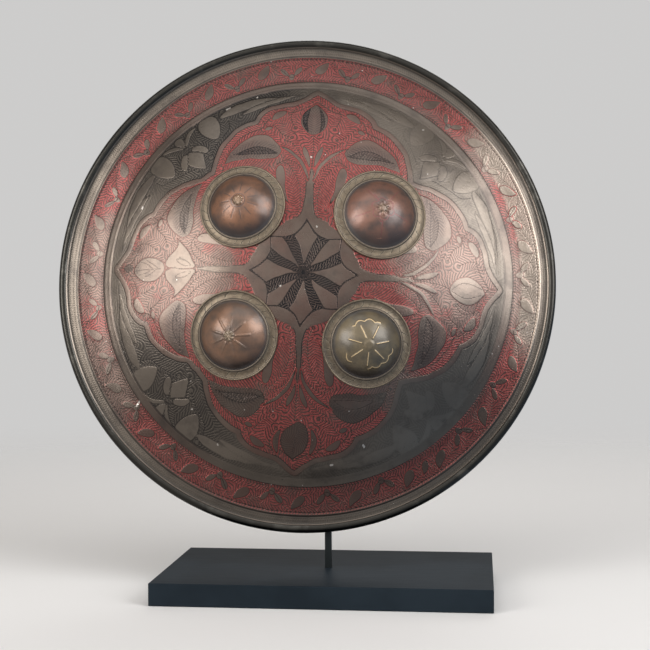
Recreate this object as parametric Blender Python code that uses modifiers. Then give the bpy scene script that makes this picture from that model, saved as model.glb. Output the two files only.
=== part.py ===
"""A dhal, the round domed shield of Persia and India, on its display stand.

The bowl is one steel sheet: a dome that turns out to a flatter brim and ends in a rolled edge.
Four hollow bosses sit on its face, each held by a rivet through its middle that is clenched over
inside. A square bar in a black block rises behind the rim, and the bowl hangs on its cross bar.
Metres, +Z up, the front towards -Y. The origin is the middle of the block's underside.
"""

import math

import bmesh
import bpy
from mathutils import Matrix, Vector

GAP = 0.0003  # between pieces that touch

# The stand
BASE_WIDTH = 0.300
BASE_DEPTH = 0.175
BASE_THICKNESS = 0.020
BASE_EDGE = 0.0006
ROD_SIDE = 0.006
ROD_X = -0.001
SOCKET_DEPTH = 0.012
CROSS_BAR_RADIUS = 0.003
CROSS_BAR_REACH = 0.060  # to each side of the bowl's middle
CROSS_BAR_UP = 0.1053  # over the bowl's middle, measured along its face
CROSS_BAR_CLEARANCE = 0.0006
CROSS_BAR_STEPS = 12

# The bowl: in section a dome's arc, a reverse arc and a straight brim
SHIELD_RADIUS = 0.234
SHIELD_MIDDLE = (-0.024, 0.0218, 0.2845)  # the middle of the rolled edge's circle
LEAN_BACK = math.radians(7.8)
TURN = math.radians(3.9)
WALL = 0.0015
DOME_RADIUS = 0.379
DOME_EDGE = 0.1825
TURN_EDGE = 0.206
BRIM_ANGLE = math.radians(7.1)
ROLL_RADIUS = 0.0042
BOWL_SIDES = 64
DOME_STEPS = 10
TURN_STEPS = 3
ROLL_STEPS = 10

# Raised mouldings round the face: inner radius, outer radius, rise
FIELD_FILLET = (0.1845, 0.1915, 0.0005)
BORDER_LINE = (0.2158, 0.2178, 0.0005)
MOULDING_SHOULDER = 0.0005

# The bosses: distance from the bowl's middle, bearing from its right hand, radius of the flange,
# and radius of the button on top, where it has one
BOSSES = {
    "boss_top_left": (0.0831, 131.6, 0.0400, 0.0050),
    "boss_top_right": (0.0889, 37.5, 0.0425, 0.0),
    "boss_bottom_left": (0.0835, 222.3, 0.0409, 0.0048),
    "boss_bottom_right": (0.0868, 312.1, 0.0405, 0.0),
}
BOSS_SIDES = 24
BOSS_RISE = 0.0160
BOSS_SHEET = 0.0012
BOSS_DOME_SHARE = 0.76  # of the flange's radius
CROWN_STEPS = 6
LINING_STEPS = 4
BUTTON_RISE = 0.0012
INNER_BEAD_WIDTH = 0.0022
INNER_BEAD_RISE = 0.0007
EDGE_BEAD_WIDTH = 0.0020
EDGE_BEAD_RISE = 0.0008
RIVET_RADIUS = 0.0025
RIVET_END_RADIUS = 0.0055
RIVET_END_HEIGHT = 0.0028
RIVET_HOLE_SIDES = 12


def clear_scene():
    for thing in list(bpy.data.objects):
        bpy.data.objects.remove(thing, do_unlink=True)


def new_collection(name):
    collection = bpy.data.collections.new(name)
    bpy.context.scene.collection.children.link(collection)
    return collection


def new_material(name, colour, roughness, metallic):
    material = bpy.data.materials.new(name)
    material.use_nodes = True
    shader = material.node_tree.nodes["Principled BSDF"]
    shader.inputs["Base Color"].default_value = (*colour, 1.0)
    shader.inputs["Roughness"].default_value = roughness
    shader.inputs["Metallic"].default_value = metallic
    return material


def new_object(name, data, collection, material=None):
    thing = bpy.data.objects.new(name, data)
    collection.objects.link(thing)
    if material:
        data.materials.append(material)
    return thing


def take_primitive(name, collection, material=None):
    """Name the primitive that was just added and move it into a collection."""
    thing = bpy.context.active_object
    thing.name = name
    thing.data.name = name
    for owner in list(thing.users_collection):
        owner.objects.unlink(thing)
    collection.objects.link(thing)
    if material:
        thing.data.materials.append(material)
    return thing


def box(name, size, middle, collection, material=None):
    bpy.ops.mesh.primitive_cube_add(size=1.0, location=middle)
    thing = take_primitive(name, collection, material)
    thing.data.transform(Matrix.Diagonal((*size, 1.0)))
    return thing


def turned(name, section, sides, collection, material, parent):
    """A turned piece: the section's (radius, height) points, top to bottom, screwed round Z."""
    mesh = bpy.data.meshes.new(name)
    points = [(radius, 0.0, height) for radius, height in section]
    mesh.from_pydata(points, [(i, i + 1) for i in range(len(points) - 1)], [])
    thing = new_object(name, mesh, collection, material)
    thing.parent = parent
    screw = thing.modifiers.new("Turn", "SCREW")
    screw.steps = sides
    screw.render_steps = sides
    screw.use_merge_vertices = True
    screw.merge_threshold = 0.00001
    screw.use_smooth_shade = True
    return thing


def combine(thing, other, operation):
    """Cut another object out of this one, or join it on, and hide the other."""
    boolean = thing.modifiers.new(operation.title(), "BOOLEAN")
    boolean.operation = operation
    boolean.solver = "EXACT"
    boolean.object = other
    other.hide_render = True
    other.display_type = "WIRE"


# The bowl's section


def dome_angle():
    """How steeply the dome falls where it ends."""
    return math.asin(DOME_EDGE / DOME_RADIUS)


def turn_radius():
    """Radius of the reverse arc that takes the dome's fall down to the brim's."""
    return (TURN_EDGE - DOME_EDGE) / (math.sin(dome_angle()) - math.sin(BRIM_ANGLE))


def brim_height(radius):
    roll_middle = SHIELD_RADIUS - ROLL_RADIUS
    return (roll_middle - radius) * math.tan(BRIM_ANGLE) + WALL / 2


def face(radius):
    """The bowl's bare face at a radius: its height, and how steeply it falls outwards."""
    if radius >= TURN_EDGE:
        return brim_height(radius), BRIM_ANGLE
    arc = turn_radius()
    arc_top = brim_height(TURN_EDGE) + arc * math.cos(BRIM_ANGLE)
    if radius >= DOME_EDGE:
        arc_middle = TURN_EDGE + arc * math.sin(BRIM_ANGLE)
        angle = math.asin((arc_middle - radius) / arc)
        return arc_top - arc * math.cos(angle), angle
    angle = math.asin(radius / DOME_RADIUS)
    dome_foot = arc_top - arc * math.cos(dome_angle())
    return dome_foot + DOME_RADIUS * (math.cos(angle) - math.cos(dome_angle())), angle


def on_face(radius, lift=0.0):
    """The (radius, height) point that stands off the bare face by lift, square to it."""
    height, angle = face(radius)
    return radius + lift * math.sin(angle), height + lift * math.cos(angle)


def moulding(inner, outer, rise):
    """A raised band in the section, with a sloped shoulder on each side."""
    tops = (inner + MOULDING_SHOULDER, outer - MOULDING_SHOULDER)
    return [on_face(inner), on_face(tops[0], rise), on_face(tops[1], rise), on_face(outer)]


def rolled_edge():
    """The roll's section, from where the face meets it, over and round to the sheet's back."""
    half_sheet = math.asin(WALL / 2 / ROLL_RADIUS)
    first = math.pi - BRIM_ANGLE - half_sheet
    sweep = 2 * math.pi - 2 * half_sheet
    middle = SHIELD_RADIUS - ROLL_RADIUS
    angles = [first - sweep * i / ROLL_STEPS for i in range(ROLL_STEPS + 1)]
    return [(middle + ROLL_RADIUS * math.cos(a), ROLL_RADIUS * math.sin(a)) for a in angles]


def bowl_section():
    dome = [DOME_EDGE * i / DOME_STEPS for i in range(DOME_STEPS + 1)]
    turn_step = (TURN_EDGE - DOME_EDGE) / TURN_STEPS
    turn = [DOME_EDGE + turn_step * i for i in range(1, TURN_STEPS + 1)]
    front = [on_face(radius) for radius in dome]
    front += moulding(*FIELD_FILLET)
    front += [on_face(radius) for radius in turn if radius > FIELD_FILLET[1]]
    front += moulding(*BORDER_LINE)
    back = [on_face(radius, -WALL) for radius in reversed(dome + turn)]
    return front + rolled_edge() + back


def make_bowl(frame, collection, cutters, material):
    bowl = turned("shield_bowl", bowl_section(), BOWL_SIDES, collection, material, frame)
    for name, (distance, bearing, _, _) in BOSSES.items():
        bpy.ops.mesh.primitive_cylinder_add(
            vertices=RIVET_HOLE_SIDES, radius=RIVET_RADIUS + GAP, depth=8 * WALL
        )
        drill = take_primitive(name + "_rivet_hole", cutters)
        seat_on_bowl(drill, frame, distance, bearing)
        combine(bowl, drill, "DIFFERENCE")


# The bosses


def seat_on_bowl(thing, frame, distance, bearing):
    """Stand a piece on the face, its own Z square to the face and its X pointing outwards."""
    height, angle = face(distance)
    bearing = math.radians(bearing)
    thing.parent = frame
    thing.location = (distance * math.cos(bearing), distance * math.sin(bearing), height)
    thing.rotation_euler = (0.0, angle, bearing)


def seat_height(radius):
    """Height of the bowl's face over a boss's own middle, at a distance from that middle."""
    return math.sqrt(DOME_RADIUS**2 - radius**2) - DOME_RADIUS


def cap(radius, foot, top, steps, lift=0.0):
    """A dome's arc from its top down to its foot; lift moves it out, or in where negative."""
    rise = top - foot
    ball = (radius**2 + rise**2) / (2 * rise)
    last = math.asin(radius / ball)
    angles = [last * i / steps for i in range(steps + 1)]
    reach = ball + lift
    return [(reach * math.sin(a), top - ball + reach * math.cos(a)) for a in angles]


def boss_section(flange, button):
    """A hollow boss with its flange, and the rivet that runs down its middle."""
    dome = BOSS_DOME_SHARE * flange
    foot = seat_height(dome) + GAP + BOSS_SHEET
    crown = cap(dome, foot, BOSS_RISE, CROWN_STEPS)
    if button:
        button_top = BOSS_RISE + BUTTON_RISE
        crown[:1] = [(0.0, button_top), (0.7 * button, button_top), (button, crown[1][1])]
    bead = flange - EDGE_BEAD_WIDTH
    bead_foot = seat_height(bead) + GAP + BOSS_SHEET
    flange_top = [
        (dome + INNER_BEAD_WIDTH / 2, foot + INNER_BEAD_RISE),
        (dome + INNER_BEAD_WIDTH, foot),
        (bead, bead_foot),
        (bead + EDGE_BEAD_WIDTH / 2, bead_foot + EDGE_BEAD_RISE),
        (flange, bead_foot),
    ]
    underside = [(radius, seat_height(radius) + GAP) for radius in (flange, dome - BOSS_SHEET)]
    lining = cap(dome, foot, BOSS_RISE, LINING_STEPS, -BOSS_SHEET)
    rivet_end = -WALL - GAP
    rivet = [
        (RIVET_RADIUS, lining[0][1]),
        (RIVET_RADIUS, rivet_end),
        (RIVET_END_RADIUS, rivet_end),
        (0.8 * RIVET_END_RADIUS, rivet_end - 0.6 * RIVET_END_HEIGHT),
        (0.0, rivet_end - RIVET_END_HEIGHT),
    ]
    return crown + flange_top + underside + lining[-2:0:-1] + rivet


def make_bosses(frame, collection, material):
    for name, (distance, bearing, flange, button) in BOSSES.items():
        section = boss_section(flange, button)
        boss = turned(name, section, BOSS_SIDES, collection, material, frame)
        seat_on_bowl(boss, frame, distance, bearing)


# The stand


def make_base(collection, cutters, material):
    size = (BASE_WIDTH, BASE_DEPTH, BASE_THICKNESS)
    base = box("stand_base", size, (0.0, 0.0, BASE_THICKNESS / 2), collection, material)
    edge = base.modifiers.new("Edge", "BEVEL")
    edge.width = BASE_EDGE
    edge.segments = 1
    side = ROD_SIDE + 2 * GAP
    depth = SOCKET_DEPTH + GAP
    socket = box("rod_socket", (side, side, 2 * depth), (ROD_X, 0.0, BASE_THICKNESS), cutters)
    combine(base, socket, "DIFFERENCE")


def inside_bowl(frame, across, up, off):
    """The world point inside the bowl at a place on its back, off the sheet by a distance."""
    radius = math.hypot(across, up)
    reach, height = on_face(radius, -WALL - off)
    return frame.matrix_world @ Vector((across * reach / radius, up * reach / radius, height))


def tube(name, points, radius, collection):
    """A round bar through the points, as a mesh with welded caps."""
    curve = bpy.data.curves.new(name, "CURVE")
    curve.dimensions = "3D"
    curve.bevel_depth = radius
    curve.bevel_resolution = 2
    curve.use_fill_caps = True
    spline = curve.splines.new("POLY")
    spline.points.add(len(points) - 1)
    for control, place in zip(spline.points, points):
        control.co = (*place, 1.0)
    bent = new_object(name, curve, collection)
    depsgraph = bpy.context.evaluated_depsgraph_get()
    mesh = bpy.data.meshes.new_from_object(bent.evaluated_get(depsgraph))
    shape = bmesh.new()
    shape.from_mesh(mesh)
    bmesh.ops.remove_doubles(shape, verts=shape.verts, dist=0.00001)
    shape.to_mesh(mesh)
    shape.free()
    thing = new_object(name + "_mesh", mesh, collection)
    thing.matrix_world = bent.matrix_world
    bpy.data.objects.remove(bent, do_unlink=True)
    return thing


def make_rod(frame, collection, cutters, material):
    """The square bar, with a round bar bent to the bowl's inside welded across its top."""
    off = CROSS_BAR_RADIUS + CROSS_BAR_CLEARANCE
    places = [CROSS_BAR_REACH * (2 * i / CROSS_BAR_STEPS - 1) for i in range(CROSS_BAR_STEPS + 1)]
    points = [inside_bowl(frame, across, CROSS_BAR_UP, off) for across in places]
    cross_bar = tube("cross_bar", points, CROSS_BAR_RADIUS, cutters)
    rod_top = inside_bowl(frame, ROD_X - SHIELD_MIDDLE[0], CROSS_BAR_UP, off).z
    rod_foot = BASE_THICKNESS - SOCKET_DEPTH
    size = (ROD_SIDE, ROD_SIDE, rod_top - rod_foot)
    middle = (ROD_X, 0.0, (rod_top + rod_foot) / 2)
    rod = box("stand_rod", size, middle, collection, material)
    combine(rod, cross_bar, "UNION")


def main():
    clear_scene()
    dhal = new_collection("dhal")
    cutters = new_collection("cutters")
    frame = new_object("shield_frame", None, dhal)
    frame.location = SHIELD_MIDDLE
    frame.rotation_euler = (math.pi / 2 - LEAN_BACK, 0.0, TURN)
    bpy.context.view_layer.update()
    dark_steel = new_material("dark_steel", (0.16, 0.125, 0.097), 0.38, 1.0)
    browned_copper = new_material("browned_copper", (0.19, 0.085, 0.05), 0.32, 1.0)
    black_paint = new_material("black_paint", (0.012, 0.014, 0.017), 0.45, 0.0)
    make_bowl(frame, dhal, cutters, dark_steel)
    make_bosses(frame, dhal, browned_copper)
    make_base(dhal, cutters, black_paint)
    make_rod(frame, dhal, cutters, black_paint)


main()
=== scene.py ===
"""The look of a dhal, a round steel shield with an etched and painted face, on its stand."""

import math

import bmesh
import bpy
import numpy as np
from mathutils import Matrix, Vector


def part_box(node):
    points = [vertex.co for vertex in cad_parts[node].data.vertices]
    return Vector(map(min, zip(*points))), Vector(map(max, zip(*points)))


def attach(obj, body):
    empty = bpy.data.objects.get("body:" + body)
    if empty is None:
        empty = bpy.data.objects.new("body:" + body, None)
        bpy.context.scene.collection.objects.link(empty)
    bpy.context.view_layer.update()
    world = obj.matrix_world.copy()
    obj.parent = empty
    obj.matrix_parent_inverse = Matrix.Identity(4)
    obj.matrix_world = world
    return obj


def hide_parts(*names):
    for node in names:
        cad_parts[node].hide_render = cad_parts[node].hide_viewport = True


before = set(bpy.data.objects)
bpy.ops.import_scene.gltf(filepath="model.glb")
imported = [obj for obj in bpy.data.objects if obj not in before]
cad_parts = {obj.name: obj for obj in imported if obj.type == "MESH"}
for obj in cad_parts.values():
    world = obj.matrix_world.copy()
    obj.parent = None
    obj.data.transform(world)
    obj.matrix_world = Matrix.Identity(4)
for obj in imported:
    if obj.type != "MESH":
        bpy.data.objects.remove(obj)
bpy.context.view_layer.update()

# ---------------------------------------------------------------------------
# The bowl. One steel sheet raised to a dome, with a flatter brim whose edge is rolled over.
# The face is etched all over: the grounds are sunk and hatched, and the hatching is filled
# with red or black paint, so that the leaves, petals and straps stand in plain brown metal.

SHIELD_RADIUS = 0.234
SHIELD_MIDDLE = (-0.024, 0.0218, 0.2845)
LEAN_BACK = math.radians(7.8)
TURN = math.radians(3.9)
WALL = 0.0015
DOME_RADIUS = 0.379
DOME_EDGE = 0.1825
TURN_EDGE = 0.206
BRIM_ANGLE = math.radians(7.1)
ROLL_RADIUS = 0.0042
RINGS_OUT_OF_TRUE = (0.0018, -0.0006)  # the engraver's rings aren't quite round the middle
PATTERN_TURN = math.radians(-3.5)

# the face's relief and the hammer's dents inside, in millimetres
GROUND_SUNK = 0.10
LEAF_SWOLLEN = 0.05
FILLET_RISE = 0.22
BEAD_RISE = 0.45
PANEL_GROOVE = 0.06
DENT = 0.12
FILLET_EDGES = (184.0, 192.0)
BORDER_EDGE = 218.4
FAR = 60.0  # stands for farther off than any line reaches

FRONT_RINGS = 156
RIM = 6 * FRONT_RINGS  # places round the face's edge
BACK_RINGS = 52
ROLL_STEPS = 12

shield_place = (
    Matrix.Translation(SHIELD_MIDDLE)
    @ Matrix.Rotation(TURN, 4, "Z")
    @ Matrix.Rotation(math.pi / 2 - LEAN_BACK, 4, "X")
)


def face_height(radius):
    """Height and fall of the bare face at a radius, for arrays."""
    dome_angle = math.asin(DOME_EDGE / DOME_RADIUS)
    arc = (TURN_EDGE - DOME_EDGE) / (math.sin(dome_angle) - math.sin(BRIM_ANGLE))
    roll_middle = SHIELD_RADIUS - ROLL_RADIUS
    brim = (roll_middle - radius) * math.tan(BRIM_ANGLE) + WALL / 2
    arc_top = (roll_middle - TURN_EDGE) * math.tan(BRIM_ANGLE) + WALL / 2 + arc * math.cos(BRIM_ANGLE)
    arc_middle = TURN_EDGE + arc * math.sin(BRIM_ANGLE)
    turn_angle = np.arcsin(np.clip((arc_middle - radius) / arc, -1, 1))
    dome_fall = np.arcsin(np.clip(radius / DOME_RADIUS, 0, 1))
    dome = arc_top - arc * math.cos(dome_angle) + DOME_RADIUS * (np.cos(dome_fall) - math.cos(dome_angle))
    on_turn = radius >= DOME_EDGE
    on_brim = radius >= TURN_EDGE
    height = np.where(on_brim, brim, np.where(on_turn, arc_top - arc * np.cos(turn_angle), dome))
    fall = np.where(on_brim, BRIM_ANGLE, np.where(on_turn, turn_angle, dome_fall))
    return height, fall


def step_between(low, high, value):
    """0 below low, 1 above high, and a smooth rise between them."""
    t = np.clip((value - low) / (high - low), 0, 1)
    return t * t * (3 - 2 * t)


# The drawing is laid out in millimetres, with the pattern's own up along +Y.


def bent(points, step=1.3, closed=False):
    """Close points along a smooth line through the given ones."""
    p = np.array(points, float)
    p = np.vstack([p[-1], p, p[:2]] if closed else [2 * p[0] - p[1], p, 2 * p[-1] - p[-2]])
    runs = []
    for a, b, c, d in zip(p, p[1:], p[2:], p[3:]):
        count = max(2, int(np.linalg.norm(c - b) / step))
        t = (np.arange(count) / count)[:, None]
        square = 2 * a - 5 * b + 4 * c - d
        cube = 3 * b - a - 3 * c + d
        runs.append(0.5 * (2 * b + (c - a) * t + square * t**2 + cube * t**3))
    return np.vstack(runs if closed else runs + [p[-2][None]])


def turned(points, degrees):
    a = math.radians(degrees)
    p = np.atleast_2d(np.array(points, float))
    return p @ np.array([[math.cos(a), math.sin(a)], [-math.sin(a), math.cos(a)]])


def polar(radius, degrees):
    a = math.radians(degrees)
    return (radius * math.cos(a), radius * math.sin(a))


def leaf(base, tip, width, swell=0.7, point=1.0, bend=0.0):
    """A leaf's outline, counter-clockwise. Low swell or point make a blunt end."""
    base, tip = np.array(base, float), np.array(tip, float)
    run = tip - base
    length = np.linalg.norm(run)
    across = np.array([-run[1], run[0]]) / length
    t = (1 - np.cos(np.linspace(0, math.pi, 25))) / 2
    rib = base + t[:, None] * run + (bend * np.sin(math.pi * t))[:, None] * across
    widest = swell / (swell + point)
    most = widest**swell * (1 - widest) ** point
    half = width / 2 * t**swell * (1 - t) ** point / most
    along = np.gradient(rib, axis=0)
    along /= np.linalg.norm(along, axis=1)[:, None]
    side = np.column_stack([-along[:, 1], along[:, 0]])
    left, right = rib + half[:, None] * side, rib - half[:, None] * side
    return np.vstack([right[:-1], left[:0:-1]])


def in_blocks(work, line, places, most=4000):
    """Do the work on a few places at a time, so that the tables it makes stay small."""
    parts = [work(line, places[i : i + most]) for i in range(0, max(len(places), 1), most)]
    return [np.concatenate(column) for column in zip(*parts)]


def gauge(line, places):
    """How far along a line each place is, how far off it and to which side."""
    return in_blocks(gauge_few, line, places)


def gauge_few(line, places):
    starts, runs = line[:-1], np.diff(line, axis=0)
    lengths = np.linalg.norm(runs, axis=1) + 1e-9
    before = np.concatenate([[0], np.cumsum(lengths)])[:-1]
    gap = places[:, None] - starts
    share = np.clip((gap * runs).sum(2) / lengths**2, 0, 1)
    gap -= share[..., None] * runs
    off = (gap**2).sum(2)
    pick = off.argmin(1)
    row = np.arange(len(places))
    side = runs[pick, 0] * gap[row, pick, 1] - runs[pick, 1] * gap[row, pick, 0]
    off = np.sqrt(off[row, pick])
    return before[pick] + share[row, pick] * lengths[pick], np.where(side < 0, -off, off), off


def inside(outline, places):
    """True for each place within a closed outline."""
    return in_blocks(inside_few, outline, places)[0]


def inside_few(outline, places):
    x, y = places[:, :1], places[:, 1:]
    a, b = outline, np.roll(outline, -1, axis=0)
    crosses = (a[:, 1] > y) != (b[:, 1] > y)
    at = a[:, 0] + (y - a[:, 1]) * (b[:, 0] - a[:, 0]) / np.where(b[:, 1] == a[:, 1], 1e-9, b[:, 1] - a[:, 1])
    return ((crosses & (x < at)).sum(1) % 2 == 1,)


def near_to(line, places, reach):
    """Which places lie in the box round a line, with reach to spare."""
    low, high = line.min(0) - reach, line.max(0) + reach
    return np.flatnonzero(((places > low) & (places < high)).all(1))


def off_outlines(outlines, places, reach):
    """The distance outside the nearest outline within reach, negative inside it."""
    nearest = np.full(len(places), FAR)
    for outline in outlines:
        chosen = near_to(outline, places, reach)
        if len(chosen):
            off = gauge(np.vstack([outline, outline[:1]]), places[chosen])[2]
            off = np.where(inside(outline, places[chosen]), -off, off)
            nearest[chosen] = np.minimum(nearest[chosen], off)
    return nearest


# The four-armed panel that holds the red ground: half of one arm, from the notch between two
# arms, round a broad lobe to a cusp, and on by a small lobe and a hollow to the arm's point.
lobe = bent([(89.5, 89.5), (88.2, 99), (86, 110), (81.5, 121), (74, 131), (64, 138.8), (53.5, 143.5)])
shoulder = [(53.5, 143.5), (51, 150), (45.5, 155.5), (37, 159.6), (28, 161.8), (19, 164.4), (10, 169.5)]
shoulder = bent(shoulder + [(0, 177)])
half_arm = np.vstack([lobe, shoulder[1:]])


def arm_edge(drawn_in, side):
    """Half an arm's edge, drawn in where the engraver had less room."""
    share = 1 - drawn_in * step_between(90, 102, half_arm[:, 1])
    return half_arm * np.column_stack([side * share, np.ones(len(share))])


panel = []
for k, (left, right) in enumerate([(0, 0), (0.07, 0.07), (0, 0.06), (0.02, 0.01)]):
    panel += [turned(arm_edge(right, 1), 90 * k), turned(arm_edge(left, -1)[-2::-1], 90 * k)]
panel = np.vstack(panel)
STRAP = 5.0  # the plain band outside the panel's edge
LADDER = 6.5  # the hatched band inside it

lines = []  # every engraved line as (points, closed)
leaves = []  # every outline that stays plain
stems = []  # every broad stem that stays plain, its sides drawn apart
darks = []  # every outline cut dark, with how strongly


def draw(points, closed=False):
    points = np.array(points, float)
    lines.append((np.vstack([points, points[:1]]) if closed else points, closed))


def draw_leaf(base, tip, width, swell=0.7, point=1.0, bend=0.0, turn=0.0):
    outline = turned(leaf(base, tip, width, swell, point, bend), turn)
    leaves.append(outline)
    draw(outline, closed=True)


def draw_shape(points, turn, s=1, dark=0.0):
    """A plain or dark shape in a smooth outline; a point given twice is sharp, and s -1 mirrors."""
    outline = turned(bent([(s * v, u) for v, u in points], closed=True), turn)
    if dark:
        darks.append((outline, dark))
    else:
        leaves.append(outline)
    draw(outline, closed=True)


def draw_stem(points, turn, s=1):
    draw(turned(bent([(s * v, u) for v, u in points]), turn))


# The star in the middle: eight petals with black between, inside a ring of hollow arcs
star_arc = bent([(0, 49.5), (2.4, 45), (5.6, 40), (10.2, 35.2), (15, 32.6), (22.5, 31.2), (32.4, 32.4)])
star_arc = np.vstack([star_arc, star_arc[-2:0:-1, ::-1]])
star_ring = np.vstack([turned(star_arc, -90 * k) for k in range(4)])
draw(star_ring, closed=True)
for k in range(8):
    if k % 2 == 0:
        petal = [(0.3, 3), (1.0, 9), (2.6, 15.5), (4.9, 21.5), (7.3, 27.5), (10.6, 33.6), (10.6, 33.6)]
        petal += [(6.0, 38.2), (2.8, 43), (0, 47.8), (0, 47.8)]
    else:
        petal = [(0.3, 3), (0.9, 9), (2.2, 15), (4.0, 21), (5.6, 27), (6.6, 32), (7.4, 36.6), (7.4, 36.6)]
        petal += [(4.0, 40.4), (0, 44.6), (0, 44.6)]
    draw_shape(petal + [(-v, u) for v, u in petal[-2::-1]], 45 * k)

# The arms, each with a stem that opens in a fan, comma leaves by the bosses, two broad
# leaves and a bud or flower under the point
slit_darkness = {-1: (0.75, 0.2, 0.15, 0.15), 1: (0.35, 0.35, 0.7, 0.2)}
for k in range(4):
    turn = 90 * k
    plain_cup = k == 1
    stem = [(15, 45), (8, 50), (4.8, 55), (3.4, 62), (2.8, 72), (2.4, 84), (0.8, 96)]
    wide = (1.25, 1.0, 0.8, 1.05)[k]
    stem = [(wide * v, u) for v, u in stem]
    stems.append(turned(bent(stem + [(-v, u) for v, u in stem[::-1]], closed=True), turn))
    for s in (1, -1):
        draw_stem(stem[1:], turn, s)
    if not plain_cup:
        draw_stem([(0, 97), (0.5, 115), ((-1, 0, 1, 4)[k], 132)], turn)
    for s in (1, -1):
        draw_leaf((s * 29, 100.5), (s * 15.5, 59), 9, 0.45, 1.5, s * 3.6, turn)
        draw_stem([(11.5, 50), (7.6, 60), (8.4, 76), (13, 90), (21, 101), (27, 103)], turn, s)
        draw_stem([(3.2, 80), (6, 92), (13, 102), (23, 106), (33, 101)], turn, s)
        broad = [(29, 115), (29, 115), (35, 124), (44, 131), (56, 130), (68, 122), (77, 112)]
        broad += [(82, 100), (82, 100), (70, 104), (57, 106), (44, 105.5), (33, 108)]
        # the bottom arm's broad leaves are filled dark, partly as painted shade over the lower face
        draw_shape(broad, turn, s, dark=0.45 if k == 2 else 0.0)
        slit = [(33, 112.5), (33, 112.5), (43, 118), (56, 118), (73, 110), (73, 110), (57, 111), (45, 111.2)]
        draw_shape(slit, turn, s, dark=slit_darkness[s][k])
        draw_leaf((s * 41.5, 147), (s * 27.5, 156.5), 7.5, 0.7, 0.7, -s * 1.5, turn)
        draw_leaf((s * 39, 139.5), (s * 47, 136.5), 4.5, 0.7, 0.7, 0, turn)
        draw_stem([(21, 129), (31, 133), (38, 141), (45, 141), (50, 147)], turn, s)
        draw_stem([(18, 140), (23, 150), (22, 158), (14, 163)], turn, s)
        if plain_cup:
            cup = [(1, 101), (8, 103), (17, 109), (27, 119), (27, 119), (19, 119), (9, 128), (1, 126)]
            draw_shape(cup, turn, s)
            draw_leaf((s * 3, 104), (s * 8.5, 119), 4.5, 0.7, 0.8, 0, turn)
        else:
            draw_leaf((s * 1.8, 97), (s * 9.5, 121), 5, 1.2, 0.7, s * 1.2, turn)
            draw_leaf((s * 2, 86), (s * 33, 121), 3.6, 0.5, 0.6, s * 6.4, turn)
            draw_stem([(3, 96), (9, 111), (19, 122), (27, 126)], turn, s)
    if k == 0:
        bud = [(-1, 166), (-1, 166), (-8, 160), (-13.5, 152), (-12.5, 142), (-7, 135), (-1, 132.5)]
        draw_shape(bud + [(5, 135), (10.5, 142), (11.5, 152), (6, 160)], turn)
        left_sepal = [(-5.5, 163.5), (-5.5, 163.5), (-12, 155), (-11, 144), (-6, 134.5), (-6, 134.5)]
        draw_shape(left_sepal + [(-8, 148)], turn, 1, 1.0)
        right_sepal = [(2.5, 162), (2.5, 162), (7.5, 153), (8.5, 144), (4.5, 135), (4.5, 135)]
        draw_shape(right_sepal + [(5.5, 148)], turn, 1, 0.7)
    elif k == 1:
        bud = [(-1, 160), (-8, 156), (-12, 148), (-11, 138), (-4, 130.5), (4, 130.5), (9, 138)]
        draw_shape(bud + [(10, 148), (6, 156)], turn)
        draw_stem([(-1, 133), (-1, 146), (-2, 158)], turn)
        for s in (1, -1):
            draw_stem([(0, 136), (4, 141), (8, 149)], turn, s)
            draw_stem([(0, 141), (4, 147), (6, 155)], turn, s)
        draw_shape([(0, 171), (0, 171), (-4, 166), (0, 161), (4, 166)], turn, 1, 0.6)
    elif k == 2:
        bud = [(1, 167), (1, 167), (9, 161), (13.5, 151), (9, 141), (-1, 133), (-1, 133)]
        draw_shape(bud + [(-9, 137), (-12, 148), (-8, 159)], turn, 1, 0.45)
        draw_leaf((13, 140), (16, 163), 5.5, 0.8, 0.8, -3.5, turn)
        draw_leaf((-14, 138), (-13, 163), 5.5, 0.8, 0.8, 3.5, turn)
    else:
        bud = [(5, 166), (5, 166), (-3, 160), (-8, 150), (-5, 139), (4, 132), (13, 138)]
        draw_shape(bud + [(17, 149), (13, 159)], turn)
        for s in (1, -1):
            draw_stem([(4.5 + s, 134), (4.5 + 7 * s, 146), (4.5 + 3 * s, 162)], turn)
        draw_stem([(19, 138), (26, 147), (22, 163)], turn)

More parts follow.
